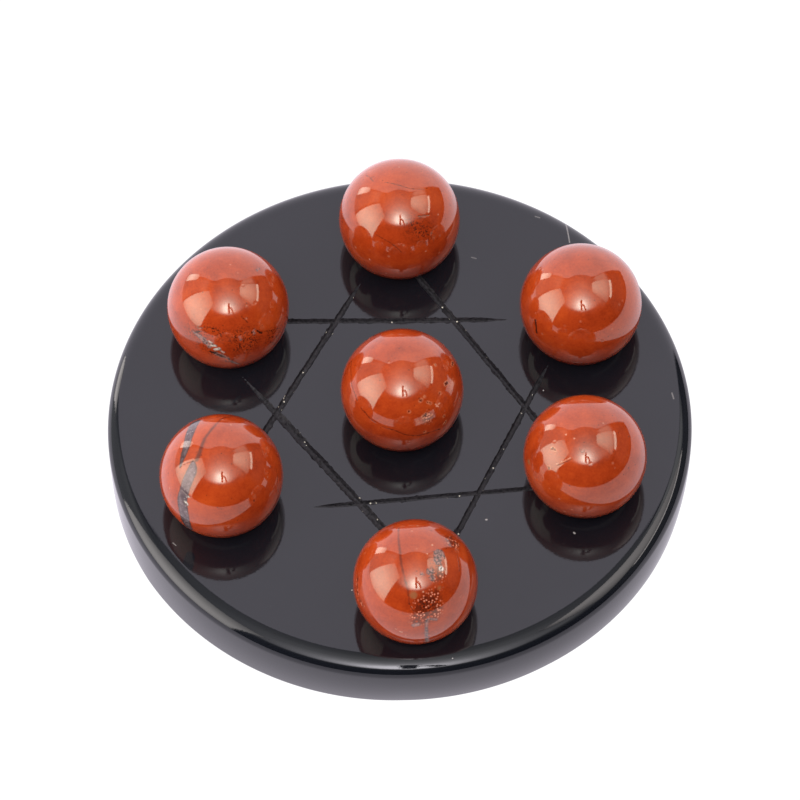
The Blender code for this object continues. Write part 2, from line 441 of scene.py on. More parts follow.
def card(name, azimuths, elevations, distance, hardness, droop, rising, across, radiance, tint):
    """A curved sheet of lit cloth that faces the board; its upper edge is level, so it falls at the sides."""
    points, shades, faces = [], [], []
    middle = sum(azimuths) / 2
    row = CARD_STEPS + 1
    for j in range(row):
        v = j / CARD_STEPS
        for i in range(row):
            u = i / CARD_STEPS
            azimuth = azimuths[0] + (azimuths[1] - azimuths[0]) * u
            elevation = math.radians(elevations[0] + (elevations[1] - elevations[0]) * v)
            fall = 1 - droop * (1 - math.cos(math.radians(azimuth - middle)))
            level = math.degrees(math.atan(math.tan(elevation) * fall))
            points.append(Vector((0, 0, PLATE_TOP)) + direction(azimuth, level) * distance)
            corner = (abs(2 * u - 1) ** hardness + abs(2 * v - 1) ** hardness) ** (1 / hardness)
            edge = min(1.0, max(0.0, (1.0 - corner) * CARD_STEPS * 0.8))
            shades.append(between(rising, v) * between(across, u) * edge)
            if i < CARD_STEPS and j < CARD_STEPS:
                a = j * row + i
                faces.append((a, a + 1, a + row + 1, a + row))
    mesh = bpy.data.meshes.new(name)
    mesh.from_pydata(points, [], faces)
    mesh.attributes.new("radiance", "FLOAT", "POINT").data.foreach_set("value", shades)
    mesh.materials.append(glow_material(name + " cloth", radiance, tint))
    made = mesh_object(name, mesh)
    made.visible_camera = False


def camera_stand():
    """Dark legs and column of the camera's stand, which every ball mirrors as a small mark in its glow."""
    form = bmesh.new()
    back = (Vector((0, 0, PLATE_TOP)) - VIEWPOINT).normalized()
    right = back.cross(Vector((0, 0, 1))).normalized()
    up = right.cross(back)
    middle = Vector((0, 0, PLATE_TOP)) - back * STAND_DISTANCE
    for path, half_width in STAND:
        edges = []
        for k, (across, rise) in enumerate(path):
            ahead = path[min(k + 1, len(path) - 1)]
            behind = path[max(k - 1, 0)]
            run = Vector((ahead[0] - behind[0], ahead[1] - behind[1])).normalized()
            for side in (-half_width, half_width):
                u = math.radians(across - run.y * side) * STAND_DISTANCE
                v = math.radians(rise + run.x * side) * STAND_DISTANCE
                edges.append(form.verts.new(middle + right * u + up * v))
        for k in range(0, len(edges) - 2, 2):
            form.faces.new((edges[k], edges[k + 1], edges[k + 3], edges[k + 2]))
    # Black paint, rubbed a little uneven.
    material = bpy.data.materials.new("Black painted stand")
    tree = empty_tree(material)
    wear = node(tree, "TexNoise", {"Scale": 40.0, "Detail": 3.0})
    rough = node(tree, "MapRange", {"Value": wear, "To Min": 0.5, "To Max": 0.8})
    shader = node(tree, "BsdfPrincipled", {"Base Color": paint("#0C0A0A"), "Roughness": rough})
    node(tree, "OutputMaterial", {"Surface": shader})
    made = mesh_object("Camera stand", finished(form, "Camera stand"))
    made.data.materials.append(material)
    made.visible_camera = False
    made.visible_diffuse = False


def window(tree, angle, centre, half, soft):
    """Soft-edged band of an angle, 1 inside and 0 outside."""
    turned = node(tree, "Math", {0: angle, 1: centre}, operation="SUBTRACT")
    wrapped = node(tree, "Math", {0: turned, 1: 180.0, 2: -180.0}, operation="WRAP")
    away = node(tree, "Math", {0: wrapped}, operation="ABSOLUTE")
    return node(tree, "MapRange", {"Value": away, "From Min": half - soft, "From Max": half + soft,
                                   "To Min": 1.0, "To Max": 0.0}, interpolation_type="SMOOTHSTEP")


def room_light(lamp):
    """The room round the board: pure white to the camera, dim walls and a lamp glow to the stones."""
    world = bpy.data.worlds.new("Studio room")
    bpy.context.scene.world = world
    tree = empty_tree(world)
    way = node(tree, "TexCoord").outputs["Generated"]
    parts = node(tree, "SeparateXYZ", {"Vector": way}).outputs
    height = node(tree, "Math", {0: parts["Z"]}, operation="ARCSINE")
    elevation = node(tree, "Math", {0: height}, operation="DEGREES")
    heading = node(tree, "Math", {0: parts["X"], 1: parts["Y"]}, operation="ARCTAN2")
    azimuth = node(tree, "Math", {0: heading}, operation="DEGREES")
    share = node(tree, "Math", {0: elevation, 1: 90.0}, operation="DIVIDE")
    total = node(tree, "ValToRGB", {"Fac": share}, stops=[(p, (v, v, v, 1.0)) for p, v in CEILING])
    for az, half_az, el, half_el, soft, radiance in ROOM:
        across = window(tree, azimuth, az, half_az, soft)
        along = window(tree, elevation, el, half_el, soft)
        patch = node(tree, "Math", {0: across, 1: along}, operation="MULTIPLY")
        total = node(tree, "Math", {0: patch, 1: radiance, 2: total}, operation="MULTIPLY_ADD")
    cosine = node(tree, "VectorMath", {0: way, 1: direction(*LAMP_AT)}, operation="DOT_PRODUCT")
    angle = node(tree, "Math", {0: cosine}, operation="ARCCOSINE")
    spread = node(tree, "Math", {0: angle, 1: GLOW_REACH}, operation="DIVIDE")
    halo = node(tree, "ValToRGB", {"Fac": spread}, stops=[(p, (v, v, v, 1.0)) for p, v in GLOW])
    cut = node(tree, "MapRange", {"Value": elevation, "From Min": LAMP_CUT[0], "From Max": LAMP_CUT[1]},
               interpolation_type="SMOOTHSTEP")
    shade = node(tree, "Math", {0: halo, 1: cut}, operation="MULTIPLY")
    glow = node(tree, "Math", {0: shade, 1: lamp}, operation="MULTIPLY")
    glow = node(tree, "VectorMath", {0: colour(LAMP_WHITE), "Scale": glow}, operation="SCALE")
    mirrored = node(tree, "VectorMath", {0: glow, 1: total}, operation="ADD")
    to_camera = node(tree, "LightPath").outputs["Is Camera Ray"]
    seen = node(tree, "Mix", {"Factor": to_camera, "A": mirrored, "B": (CLEAN_WHITE,) * 3 + (1.0,)},
                data_type="RGBA")
    light = node(tree, "Background", {"Color": seen, "Strength": 1.0})
    node(tree, "OutputWorld", {"Surface": light})


def floor_material():
    """Glowing white floor: plain white to the camera; in the stones its glow is painted brighter to the left
    and back, with a painted shadow near the plate.
    """
    material = bpy.data.materials.new("Glowing floor with painted shade")
    tree = empty_tree(material)
    place = node(tree, "TexCoord").outputs["Object"]
    way = node(tree, "VectorMath", {0: place}, operation="NORMALIZE")
    slope = node(tree, "VectorMath", {0: way, 1: OPEN_SLOPE}, operation="DOT_PRODUCT")
    open_floor = node(tree, "Math", {0: slope, 1: OPEN_FLOOR}, operation="ADD")
    # Painted shadow: close to the plate the sheet's glow is lowered as if in the plate's shade, least in
    # front and at the sides.
    front = node(tree, "VectorMath", {0: way, 1: (0.0, -1.0, 0.0)}, operation="DOT_PRODUCT")
    front = node(tree, "Math", {0: front, 1: 0.0}, operation="MAXIMUM")
    front = node(tree, "Math", {0: front, 1: 4.0}, operation="POWER")
    sideways = node(tree, "SeparateXYZ", {"Vector": way}).outputs["X"]
    shaded = node(tree, "Math", {0: sideways, 1: SHADED_CURVE, 2: SHADED_SLOPE}, operation="MULTIPLY_ADD")
    shaded = node(tree, "Math", {0: sideways, 1: shaded, 2: SHADED_FLOOR}, operation="MULTIPLY_ADD")
    shaded = node(tree, "Math", {0: front, 1: FRONT_LIFT, 2: shaded}, operation="MULTIPLY_ADD")
    reach = node(tree, "VectorMath", {0: place}, operation="LENGTH").outputs["Value"]
    clear = node(tree, "MapRange", {"Value": reach, "From Min": SHADE_START, "From Max": SHADE_END},
                 interpolation_type="SMOOTHSTEP")
    lit = node(tree, "Mix", {"Factor": clear, "A": shaded, "B": open_floor})
    to_camera = node(tree, "LightPath").outputs["Is Camera Ray"]
    level = node(tree, "Mix", {"Factor": to_camera, "A": lit, "B": CLEAN_WHITE})
    tint = node(tree, "Mix", {"Factor": to_camera, "A": paint(COOL_WHITE), "B": paint("#FFFFFF")},
                data_type="RGBA")
    light = node(tree, "Emission", {"Color": tint, "Strength": level})
    node(tree, "OutputMaterial", {"Surface": light})
    return material


class STONEBOARD_OT_studio(bpy.types.Operator):
    """Build the floor, the lights and the camera"""

    bl_idname = "stoneboard.studio"
    bl_label = "Studio"
    bl_options = {"REGISTER", "UNDO"}

    def execute(self, context):
        look = context.scene.stoneboard_studio
        context.scene.view_settings.view_transform = "Standard"
        form = bmesh.new()
        bmesh.ops.create_circle(form, cap_ends=True, radius=FLOOR_RADIUS, segments=96)
        floor = mesh_object("Floor", finished(form, "Floor"))
        floor.location.z = PLATE_LOW.z - FLOOR_GAP
        floor.data.materials.append(floor_material())
        lamps = {"Backdrop": (look.backdrop, COOL_WHITE), "Tall softbox": (look.softbox, SOFTBOX_WHITE),
                 "Strip light": (STRIP_RADIANCE, PANEL_WHITE), "Right panel": (PANEL_RADIANCE, PANEL_WHITE),
                 "Right panel edge": (PANEL_EDGE_RADIANCE, PANEL_WHITE)}
        for row in CARDS:
            card(*row, *lamps[row[0]])
        camera_stand()
        room_light(look.lamp)
        data = bpy.data.cameras.new("Camera")
        camera = bpy.data.objects.new("Camera", data)
        context.scene.collection.objects.link(camera)
        data.lens = look.lens
        data.clip_start, data.clip_end = 0.05, 20.0
        turn = (AIM_POINT - VIEWPOINT).to_track_quat("-Z", "Y").to_matrix().to_4x4()
        camera.matrix_world = Matrix.Translation(VIEWPOINT) @ turn @ Matrix.Rotation(look.roll, 4, "Z")
        context.scene.camera = camera
        return {"FINISHED"}


# ---------------------------------------------------------------- plate


# Fine scratches and nicks on the polish, in millimetres: start, end, half width, strength.
SCRATCHES = (
    ((23.5, 31.6), (23.9, 28.2), 0.09, 0.5),
    ((10.2, 25.9), (10.8, 25.7), 0.10, 0.25),
    ((19.2, 32.6), (19.8, 32.4), 0.10, 0.30),
    ((37.4, 3.4), (37.6, 2.5), 0.10, 0.35),
    ((11.5, -16.4), (11.6, -16.4), 0.12, 0.9),
    ((23.4, -18.6), (23.5, -18.7), 0.12, 0.9),
    ((-31.0, -19.5), (-30.6, -19.9), 0.09, 0.4),
)
SCRATCH_REACH = 2.4  # how far below the top face a scratch still shows, in millimetres


def scratch(tree, place, start, end, half_width, strength):
    """Mask of one straight scratch on the plate's top and its rounded edge."""
    flat = node(tree, "VectorMath", {0: place, 1: (1.0, 1.0, 0.0)}, operation="MULTIPLY")
    start, end = Vector((*start, 0.0)), Vector((*end, 0.0))
    run = end - start
    off = node(tree, "VectorMath", {0: flat, 1: start}, operation="SUBTRACT")
    share = node(tree, "VectorMath", {0: off, 1: run / run.length_squared}, operation="DOT_PRODUCT")
    share = node(tree, "Clamp", {"Value": share})
    back = node(tree, "VectorMath", {0: run, "Scale": share}, operation="SCALE")
    gap = node(tree, "VectorMath", {0: off, 1: back}, operation="DISTANCE").outputs["Value"]
    mark = node(tree, "MapRange", {"Value": gap, "From Min": half_width * 1.4, "From Max": half_width * 0.5,
                                   "To Min": 0.0, "To Max": strength})
    height = node(tree, "SeparateXYZ", {"Vector": place}).outputs["Z"]
    near_top = node(tree, "Math", {0: height, 1: PLATE_TOP * PER_MM - SCRATCH_REACH},
                    operation="GREATER_THAN")
    return node(tree, "Math", {0: mark, 1: near_top}, operation="MULTIPLY")


def polished_obsidian(look):
    """Obsidian, lapped and polished: near-black glass that mirrors the balls, with a few open pits."""
    material = bpy.data.materials.new("Polished obsidian")
    tree = empty_tree(material)
    place = surface_in_mm(tree)
    cloud = node(tree, "TexNoise", {"Vector": place, "Scale": 0.09, "Detail": 3.0})
    body = node(tree, "Mix", {"Factor": cloud, "A": (*look.polish_colour, 1.0), "B": paint("#14161B")},
                data_type="RGBA")
    # Dust-sized pits in about every second 3 mm cell, drawn up to 0.2 mm across so that they show.
    pits = node(tree, "TexVoronoi", {"Vector": place, "Scale": 0.3, "Randomness": 1.0})
    chosen = node(tree, "SeparateColor", {"Color": pits.outputs["Color"]})
    pit_size = node(tree, "MapRange", {"Value": chosen, "From Min": 0.55, "From Max": 1.0, "To Min": 0.0,
                                       "To Max": 0.034})
    worn = node(tree, "Math", {0: pits, 1: pit_size}, operation="LESS_THAN")
    for row in SCRATCHES:
        worn = node(tree, "Math", {0: worn, 1: scratch(tree, place, *row)}, operation="MAXIMUM")
    pale = node(tree, "Mix", {"Factor": worn, "A": body, "B": paint("#A5A19C")}, data_type="RGBA")
    smear = node(tree, "TexNoise", {"Vector": place, "Scale": 0.22, "Detail": 4.0, "Distortion": 0.6})
    rough = node(tree, "MapRange", {"Value": smear, "From Min": 0.35, "From Max": 0.75, "To Min": 0.045,
                                    "To Max": 0.085})
    rough = node(tree, "Mix", {"Factor": worn, "A": rough, "B": 0.6})
    # Slow ripple of the lap, 3 mm apart, under a fine 0.3 mm texture.
    ripple = node(tree, "TexNoise", {"Vector": place, "Scale": 0.35, "Detail": 2.0})
    fine = node(tree, "TexNoise", {"Vector": place, "Scale": 3.0, "Detail": 2.0})
    height = node(tree, "Math", {0: fine, 1: 0.7, 2: ripple}, operation="MULTIPLY_ADD")
    height = node(tree, "Math", {0: worn, 1: -2.0, 2: height}, operation="MULTIPLY_ADD")
    bump = node(tree, "Bump", {"Height": height, "Distance": 0.003 * MM, "Strength": 1.0})
    shader = node(tree, "BsdfPrincipled", {"Base Color": pale, "Roughness": rough, "Normal": bump,
                                           "IOR": 1.5})
    node(tree, "OutputMaterial", {"Surface": shader})
    return material


def ground_obsidian(look):
    """Obsidian cut with a wheel and left unpolished: matte charcoal floors whose chipped grit sparkles as
    painted glints.
    """
    material = bpy.data.materials.new("Ground obsidian")
    tree = empty_tree(material)
    place = surface_in_mm(tree)
    grit = node(tree, "TexNoise", {"Vector": place, "Scale": 3.2, "Detail": 4.0, "Roughness": 0.65})
    shade = node(tree, "ValToRGB", {"Fac": grit}, stops=(
        (0.34, paint("#0E0D10")), (0.52, (*look.ground_colour, 1.0)), (0.72, paint("#3A383A"))))
    # Painted glints: pale specks 0.2 mm across, about one in thirty, stand in for broken crystals catching
    # the light.
    chips = node(tree, "TexVoronoi", {"Vector": place, "Scale": 3.0, "Randomness": 1.0})
    chosen = node(tree, "SeparateColor", {"Color": chips.outputs["Color"]})
    bright = node(tree, "Math", {0: chosen.outputs["Green"], 1: 0.968}, operation="GREATER_THAN")
    near = node(tree, "Math", {0: chips, 1: 0.36}, operation="LESS_THAN")
    painted_glint = node(tree, "Math", {0: bright, 1: near}, operation="MULTIPLY")
    body = node(tree, "Mix", {"Factor": painted_glint, "A": shade, "B": paint("#C9C4B4")}, data_type="RGBA")
    rough = node(tree, "MapRange", {"Value": grit, "From Min": 0.3, "From Max": 0.7, "To Min": 0.38,
                                    "To Max": 0.7})
    bump = node(tree, "Bump", {"Height": grit, "Distance": 0.08 * MM, "Strength": 0.9})
    shader = node(tree, "BsdfPrincipled", {"Base Color": body, "Roughness": rough, "Normal": bump,
                                           "IOR": 1.5, "Specular IOR Level": 0.22})
    node(tree, "OutputMaterial", {"Surface": shader})
    return material


def plate_profile(look):
    """Half section from the underside to the top, as (cut by the rounds, cut by the lean, height)."""
    arc_steps, side_steps = 20, 24
    lean = look.side_lean
    low, high, ease = look.bottom_round, look.top_round, look.top_ease
    rise = PLATE_TOP - high - low * (1 - math.sin(lean))
    bow = rise / math.sin(lean)
    inset = bow * (1 - math.cos(lean))
    points = []
    for i in range(arc_steps + 1):
        a = math.pi / 2 + (lean - math.pi / 2) * i / arc_steps
        points.append((low * (math.cos(lean) - math.cos(a)), inset, low - low * math.sin(a)))
    for i in range(1, side_steps + 1):
        a = lean * (1 - i / side_steps)
        points.append((0.0, bow * (1 - math.cos(a)), PLATE_TOP - high - bow * math.sin(a)))
    for i in range(1, arc_steps + 1):
        a = math.pi / 2 * i / arc_steps
        points.append((ease * (1 - math.cos(a)), 0.0, PLATE_TOP - high + high * math.sin(a)))
    return points


# The side was ground by hand: the share of its lean at angles round the plate, in degrees from right.
HAND_GROUND = ((-180, 0.2), (-150, 0.18), (-120, 0.6), (-90, 1.0), (-60, 0.95), (-30, 0.62), (0, 0.5),
               (45, 0.6), (90, 0.8), (135, 0.5), (180, 0.2))


def turned_plate(look):
    """The plate before it is cut: the half section turned round the upright axis, closed by two discs."""
    profile = plate_profile(look)
    count = look.segments
    form = bmesh.new()
    rings = []
    for cut, leaned, height in profile:
        ring = []
        for i in range(count):
            a = 2 * math.pi * i / count - math.pi
            share = np.interp(math.degrees(a), *zip(*HAND_GROUND))
            egg = look.egg * (math.cos(2 * a) - 0.6 * math.cos(a))
            radius = PLATE_RADIUS + egg - cut - leaned * share
            ring.append(form.verts.new((radius * math.cos(a), radius * math.sin(a), PLATE_LOW.z + height)))
        rings.append(ring)
    for low, high in zip(rings, rings[1:]):
        for i in range(count):
            j = (i + 1) % count
            face = form.faces.new((low[i], low[j], high[j], high[i]))
            face.smooth = True
    under = form.faces.new(list(reversed(rings[0])))
    under.material_index = 1
    form.faces.new(rings[-1]).smooth = True
    return finished(form, "obsidian_plate")


def under_a_ball(point):
    """True if a point on the top, in millimetres, is within a ball's seat."""
    for name in BALLS:
        centre = ball_centre(name) * PER_MM
        if math.hypot(point[0] - centre.x, point[1] - centre.y) < SEAT_RADIUS:
            return True
    return False


def line_cutter(start, end, width, run_out, depth, rng):
    """A ragged bar in the shape of one ground line, with chipped edges and an uneven floor."""
    start, end = Vector((*start, 0)), Vector((*end, 0))
    along = (end - start).normalized()
    across = Vector((-along.y, along.x, 0))
    length = (end - start).length
    count = int(length / STATION_STEP)
    start_out, end_out = [0.0 if under_a_ball(p) else run_out for p in (start, end)]
    form = bmesh.new()
    sections = []
    chips = [0.0, 0.0]
    for i in range(count + 1):
        s = length * i / count
        fade = 1.0
        if start_out:
            fade = min(fade, s / start_out)
        if end_out:
            fade = min(fade, (length - s) / end_out)
        fade = math.sin(math.pi / 2 * fade)
        for side in (0, 1):
            chips[side] *= CHIP_LEFT
            if rng.random() < CHIP_CHANCE:
                chips[side] = rng.uniform(*CHIP_SIZE)
        drift = 0.05 * noise.noise(Vector((s * 0.25, width * 7, 0)))
        half = width / 2 * (0.32 + 0.68 * fade)
        left = half * (1 + RAGGED_EDGE * rng.uniform(-1, 1)) + chips[0] * fade
        right = half * (1 + RAGGED_EDGE * rng.uniform(-1, 1)) + chips[1] * fade
        deep = depth * (1 + RAGGED_FLOOR * rng.uniform(-1, 1))
        lift = (1 - fade) * (depth * 1.15)
        rows = ((-left - LIP, ABOVE), (-left, -0.02), (-half * 0.62, -deep * 0.80),
                (-half * 0.1, -deep), (half * 0.45, -deep * 0.93), (right, -0.02), (right + LIP, ABOVE))
        centre = start + along * s + across * drift
        section = []
        for u, z in rows:
            height = z if z > 0 else z + lift
            section.append(form.verts.new((centre + across * u + Vector((0, 0, height))) * MM
                                          + Vector((0, 0, PLATE_TOP))))
        sections.append(section)
    size = len(sections[0])
    for a, b in zip(sections, sections[1:]):
        for k in range(size):
            form.faces.new((a[k], b[k], b[(k + 1) % size], a[(k + 1) % size]))
    form.faces.new(sections[0])
    form.faces.new(list(reversed(sections[-1])))
    bmesh.ops.recalc_face_normals(form, faces=form.faces)
    for face in form.faces:
        face.material_index = 1
    return mesh_object("line cutter", finished(form, "line cutter"))


def seat_cutter(name, clearance):
    """A ball of the seat's size, at the ball's place."""
    form = bmesh.new()
    bmesh.ops.create_icosphere(form, subdivisions=6, radius=ball_radius(name) + clearance)
    bmesh.ops.translate(form, verts=form.verts, vec=ball_centre(name))
    for face in form.faces:
        face.smooth = True
        face.material_index = 1
    return mesh_object("seat cutter", finished(form, "seat cutter"))


def cut_away(piece, cutter):
    """Take the cutter's shape out of the piece and delete the cutter."""
    for material in piece.data.materials:
        cutter.data.materials.append(material)
    tool = piece.modifiers.new("cut", "BOOLEAN")
    tool.operation = "DIFFERENCE"
    tool.solver = "EXACT"
    tool.object = cutter
    made = bpy.data.meshes.new_from_object(piece.evaluated_get(bpy.context.evaluated_depsgraph_get()))
    piece.modifiers.clear()
    old = piece.data
    piece.data = made
    bpy.data.meshes.remove(old)
    bpy.data.meshes.remove(cutter.data)


class STONEBOARD_OT_plate(bpy.types.Operator):
    """Build the obsidian plate with its seats and ground lines"""

    bl_idname = "stoneboard.plate"
    bl_label = "Obsidian plate"
    bl_options = {"REGISTER", "UNDO"}

    def execute(self, context):
        look = context.scene.stoneboard_plate
        rng = random.Random(LINE_SEED)
        plate = mesh_object("obsidian_plate", turned_plate(look))
        plate.data.materials.append(polished_obsidian(look))
        plate.data.materials.append(ground_obsidian(look))
        for start, end, width, run_out in LINES:
            cut_away(plate, line_cutter(start, end, width, run_out, look.line_depth * PER_MM, rng))
        for name in BALLS:
            cut_away(plate, seat_cutter(name, look.seat_clearance))
        plate.data.name = "obsidian_plate"
        plate.data.set_sharp_from_angle(angle=SHARP_ANGLE)
        evened = plate.modifiers.new("even shading", "WEIGHTED_NORMAL")
        evened.keep_sharp = True
        evened.weight = 100
        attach(plate, "plate")
        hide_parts("base_plate")
        return {"FINISHED"}


# ---------------------------------------------------------------- balls


# For each layer of marks: whether the slow or the quick noise moves its edge, how far, and how soft the
# edge is, in millimetres.
LAYERS = {
    "grain": ("slow", 1.3, 0.4),
    "specks": ("slow", 1.0, 0.9),
    "freckle": ("slow", 1.0, 1.2),
    "hole": ("quick", 0.9, 0.07),
    "olive": ("quick", 1.2, 0.14),
    "tan": ("slow", 0.6, 0.15),
    "brown": ("slow", 0.35, 0.14),
    "grey": ("slow", 0.26, 0.08),
    "quartz": ("quick", 1.1, 0.10),
    "pale": ("quick", 2.2, 0.35),
    "chip": ("quick", 0.6, 0.07),
    "dark": ("quick", 0.30, 0.06),
}


def jasper(look):
    """Red jasper, tumbled and polished: an opaque brick-red body, clouded and veined, under a glassy skin."""
    material = bpy.data.materials.new("Polished red jasper")
    tree = empty_tree(material)
    place = surface_in_mm(tree)
    # Clouds 6 mm across, mottling 1 mm across, faint beds 1.5 mm apart and a 0.3 mm grain.
    cloud = node(tree, "TexNoise", {"Vector": place, "Scale": 0.16, "Detail": 3.0, "Distortion": 0.8})
    mottle = node(tree, "TexNoise", {"Vector": place, "Scale": 0.8, "Detail": 4.0, "Roughness": 0.65})
    grain = node(tree, "TexNoise", {"Vector": place, "Scale": 3.4, "Detail": 3.0, "Roughness": 0.6})
    tilted = node(tree, "Mapping", {"Vector": place, "Rotation": (0.5, 0.9, 0.3), "Scale": (0.16, 0.16, 0.9)})
    beds = node(tree, "TexNoise", {"Vector": tilted, "Scale": 0.75, "Detail": 3.0, "Distortion": 0.5})
    tone = cloud
    for share, pattern in ((0.40, mottle), (0.22, beds), (0.22, grain)):
        tone = node(tree, "Mix", {"Factor": share, "A": tone, "B": pattern})
    skin = node(tree, "ValToRGB", {"Fac": tone}, stops=(
        (0.38, (*look.deep_colour, 1.0)), (0.5, (*look.body_colour, 1.0)), (0.63, (*look.warm_colour, 1.0))))

    # Marks: each layer's distance to its edge, pushed about by noise, then turned into a mask.
    wander = node(tree, "TexNoise", {"Vector": place, "Scale": 1.3, "Detail": 5.0, "Roughness": 0.65})
    fray = node(tree, "TexNoise", {"Vector": place, "Scale": 3.6, "Detail": 4.0, "Roughness": 0.7})
    pushes = {"slow": node(tree, "Math", {0: wander, 1: 0.5}, operation="SUBTRACT"),
              "quick": node(tree, "Math", {0: fray, 1: 0.5}, operation="SUBTRACT")}
    masks, gaps_to = {}, {}
    for layer, (push, wobble, soft) in LAYERS.items():
        away = node(tree, "Attribute", attribute_name=layer).outputs["Fac"]
        gaps_to[layer] = node(tree, "Math", {0: pushes[push], 1: wobble, 2: away}, operation="MULTIPLY_ADD")
        masks[layer] = node(tree, "MapRange", {"Value": gaps_to[layer], "From Min": soft, "From Max": -soft,
                                               "To Min": 0.0, "To Max": 1.0})
    pit = node(tree, "Attribute", attribute_name="pit").outputs["Fac"]

    # Freckles 0.2 mm across in about one cell in eight all over; grains 0.3 mm across with dark gaps.
    seeds = node(tree, "TexVoronoi", {"Vector": place, "Scale": 1.5, "Randomness": 1.0})
    lots = node(tree, "SeparateColor", {"Color": seeds.outputs["Color"]})
    share = node(tree, "Math", {0: masks["freckle"], 1: -0.45, 2: 0.88}, operation="MULTIPLY_ADD")
    drawn = node(tree, "Math", {0: lots, 1: share}, operation="GREATER_THAN")
    cells = node(tree, "TexVoronoi", {"Vector": place, "Scale": 2.7, "Randomness": 0.9})
    picked = node(tree, "SeparateColor", {"Color": cells.outputs["Color"]})
    keep = node(tree, "Math", {0: picked, 1: 0.28}, operation="GREATER_THAN")
    keep = node(tree, "Math", {0: keep, 1: masks["grain"]}, operation="MULTIPLY")
    band = node(tree, "Math", {0: gaps_to["grey"]}, operation="ABSOLUTE")
    # Each pattern: what it is read from, the span it is read over, and its strength at the two ends.
    patterns = {}
    for name, source, start, end, low, high in (
            ("spot", seeds, 0.20, 0.10, 0.0, 0.62),
            ("gap", cells, 0.36, 0.58, 0.0, 0.7),
            ("bead", cells, 0.40, 0.24, 0.0, 0.9),
            ("net", fray, 0.49, 0.42, 0.0, 0.9),
            ("patchy", fray, 0.64, 0.52, 0.3, 1.0),
            ("border", band, 0.16, 0.04, 0.0, 0.6),
            ("painted_glint", fray, 0.64, 0.70, 0.0, 1.0),
            ("round hole", gaps_to["hole"], -0.1, 0.4, 0.0, 1.0),
            ("broken", fray, 0.42, 0.56, 0.1, 0.8)):
        patterns[name] = node(tree, "MapRange", {"Value": source, "From Min": start, "From Max": end,
                                                 "To Min": low, "To Max": high})
    black, white = (0, 0, 0, 1), (1, 1, 1, 1)
    rim = node(tree, "ValToRGB", {"Fac": patterns["round hole"]}, stops=(
        (0.14, black), (0.32, white), (0.44, white), (0.78, black)))
    olive = node(tree, "ValToRGB", {"Fac": fray}, stops=(
        (0.38, paint("#2A1A14")), (0.48, paint("#634A42")), (0.58, paint("#A88E84"))))
    steel = node(tree, "ValToRGB", {"Fac": wander}, stops=(
        (0.36, paint("#37282A")), (0.5, paint("#4C3C3D")), (0.66, paint("#6A5B5B"))))
    snow = node(tree, "ValToRGB", {"Fac": fray}, stops=(
        (0.42, paint("#3B2F26")), (0.49, paint("#A9A292")), (0.56, paint("#EFEBDD"))))

    # Coats, each laid over the last: two masks, whose product is its strength, and its colour.
    for first, second, over in (
            (patterns["spot"], drawn, paint("#45190D")),
            (masks["brown"], 0.8, paint("#4E1C16")),
            (masks["pale"], 0.6, paint("#C27452")),
            (patterns["gap"], masks["grain"], paint("#4A1A10")),
            (patterns["bead"], keep, paint("#D88E70")),
            (patterns["net"], masks["specks"], paint("#2E1710")),
            (masks["olive"], patterns["patchy"], olive),
            (masks["tan"], 0.8, paint("#8C5A38")),
            (masks["grey"], 1.0, steel),  # hematite: smooth grey bands with a dark rim
            (patterns["border"], 1.0, paint("#351E19")),
            # Painted glints: pale flecks on the grey bands stand in for the shine of the hematite.
            (patterns["painted_glint"], masks["grey"], paint("#B5B0AC")),
            (masks["quartz"], 1.0, snow),
            (rim, patterns["broken"], paint("#C67A54")),  # holes: a dark heart with a broken pale rim
            (masks["hole"], 0.85, paint("#44180E")),
            (masks["chip"], 0.85, paint("#D9A283")),
            (masks["dark"], 0.92, paint("#2A130D")),
            (pit, 1.0, paint("#C98A6A"))):  # open pits hold pale polishing dust
        strength = node(tree, "Math", {0: first, 1: second}, operation="MULTIPLY")
        skin = node(tree, "Mix", {"Factor": strength, "A": skin, "B": over}, data_type="RGBA")

    torn = node(tree, "Math", {0: masks["quartz"], 1: masks["olive"]}, operation="MAXIMUM")
    torn = node(tree, "Math", {0: torn, 1: pit}, operation="MAXIMUM")
    rough = node(tree, "MapRange", {"Value": mottle, "From Min": 0.3, "From Max": 0.7, "To Min": 0.045,
                                    "To Max": 0.085})
    rough = node(tree, "Mix", {"Factor": torn, "A": rough, "B": 0.3})
    height = node(tree, "TexNoise", {"Vector": place, "Scale": 0.5, "Detail": 2.0})
    for mask, gain in ((masks["dark"], -1.2), (masks["hole"], -2.5), (torn, fray)):
        height = node(tree, "Math", {0: mask, 1: gain, 2: height}, operation="MULTIPLY_ADD")
    bump = node(tree, "Bump", {"Height": height, "Distance": 0.004 * MM, "Strength": 1.0})
    foreign = node(tree, "Math", {0: torn, 1: masks["grey"]}, operation="MAXIMUM")
    # What the red stone mirrors is tinted a little green, so that it looks white beside the red; what the
    # grey and white minerals mirror is tinted a little red.
    tint = node(tree, "Mix", {"Factor": foreign, "A": paint("#F3FFE9"), "B": paint("#FFECE6")},
                data_type="RGBA")
    shader = node(tree, "BsdfPrincipled", {"Base Color": skin, "Roughness": rough, "Normal": bump,
                                           "IOR": 1.54, "Specular IOR Level": 0.70,
                                           "Specular Tint": tint})
    node(tree, "OutputMaterial", {"Surface": shader})
    return material


def ball_frame(centre):
    """Right, up and outward for laying marks on a ball, as it is seen from VIEWPOINT."""
    outward = (VIEWPOINT - centre).normalized()
    right = Vector((0, 0, 1)).cross(outward).normalized()
    return right, outward.cross(right), outward


def on_ball(spot, axes):
    """Unit vector for a mark given as (right, up) in ball radii."""
    right, up, outward = axes
    across, along = spot
    deep = math.sqrt(max(0.0, 1 - across * across - along * along))
    return (right * across + up * along + outward * deep).normalized()


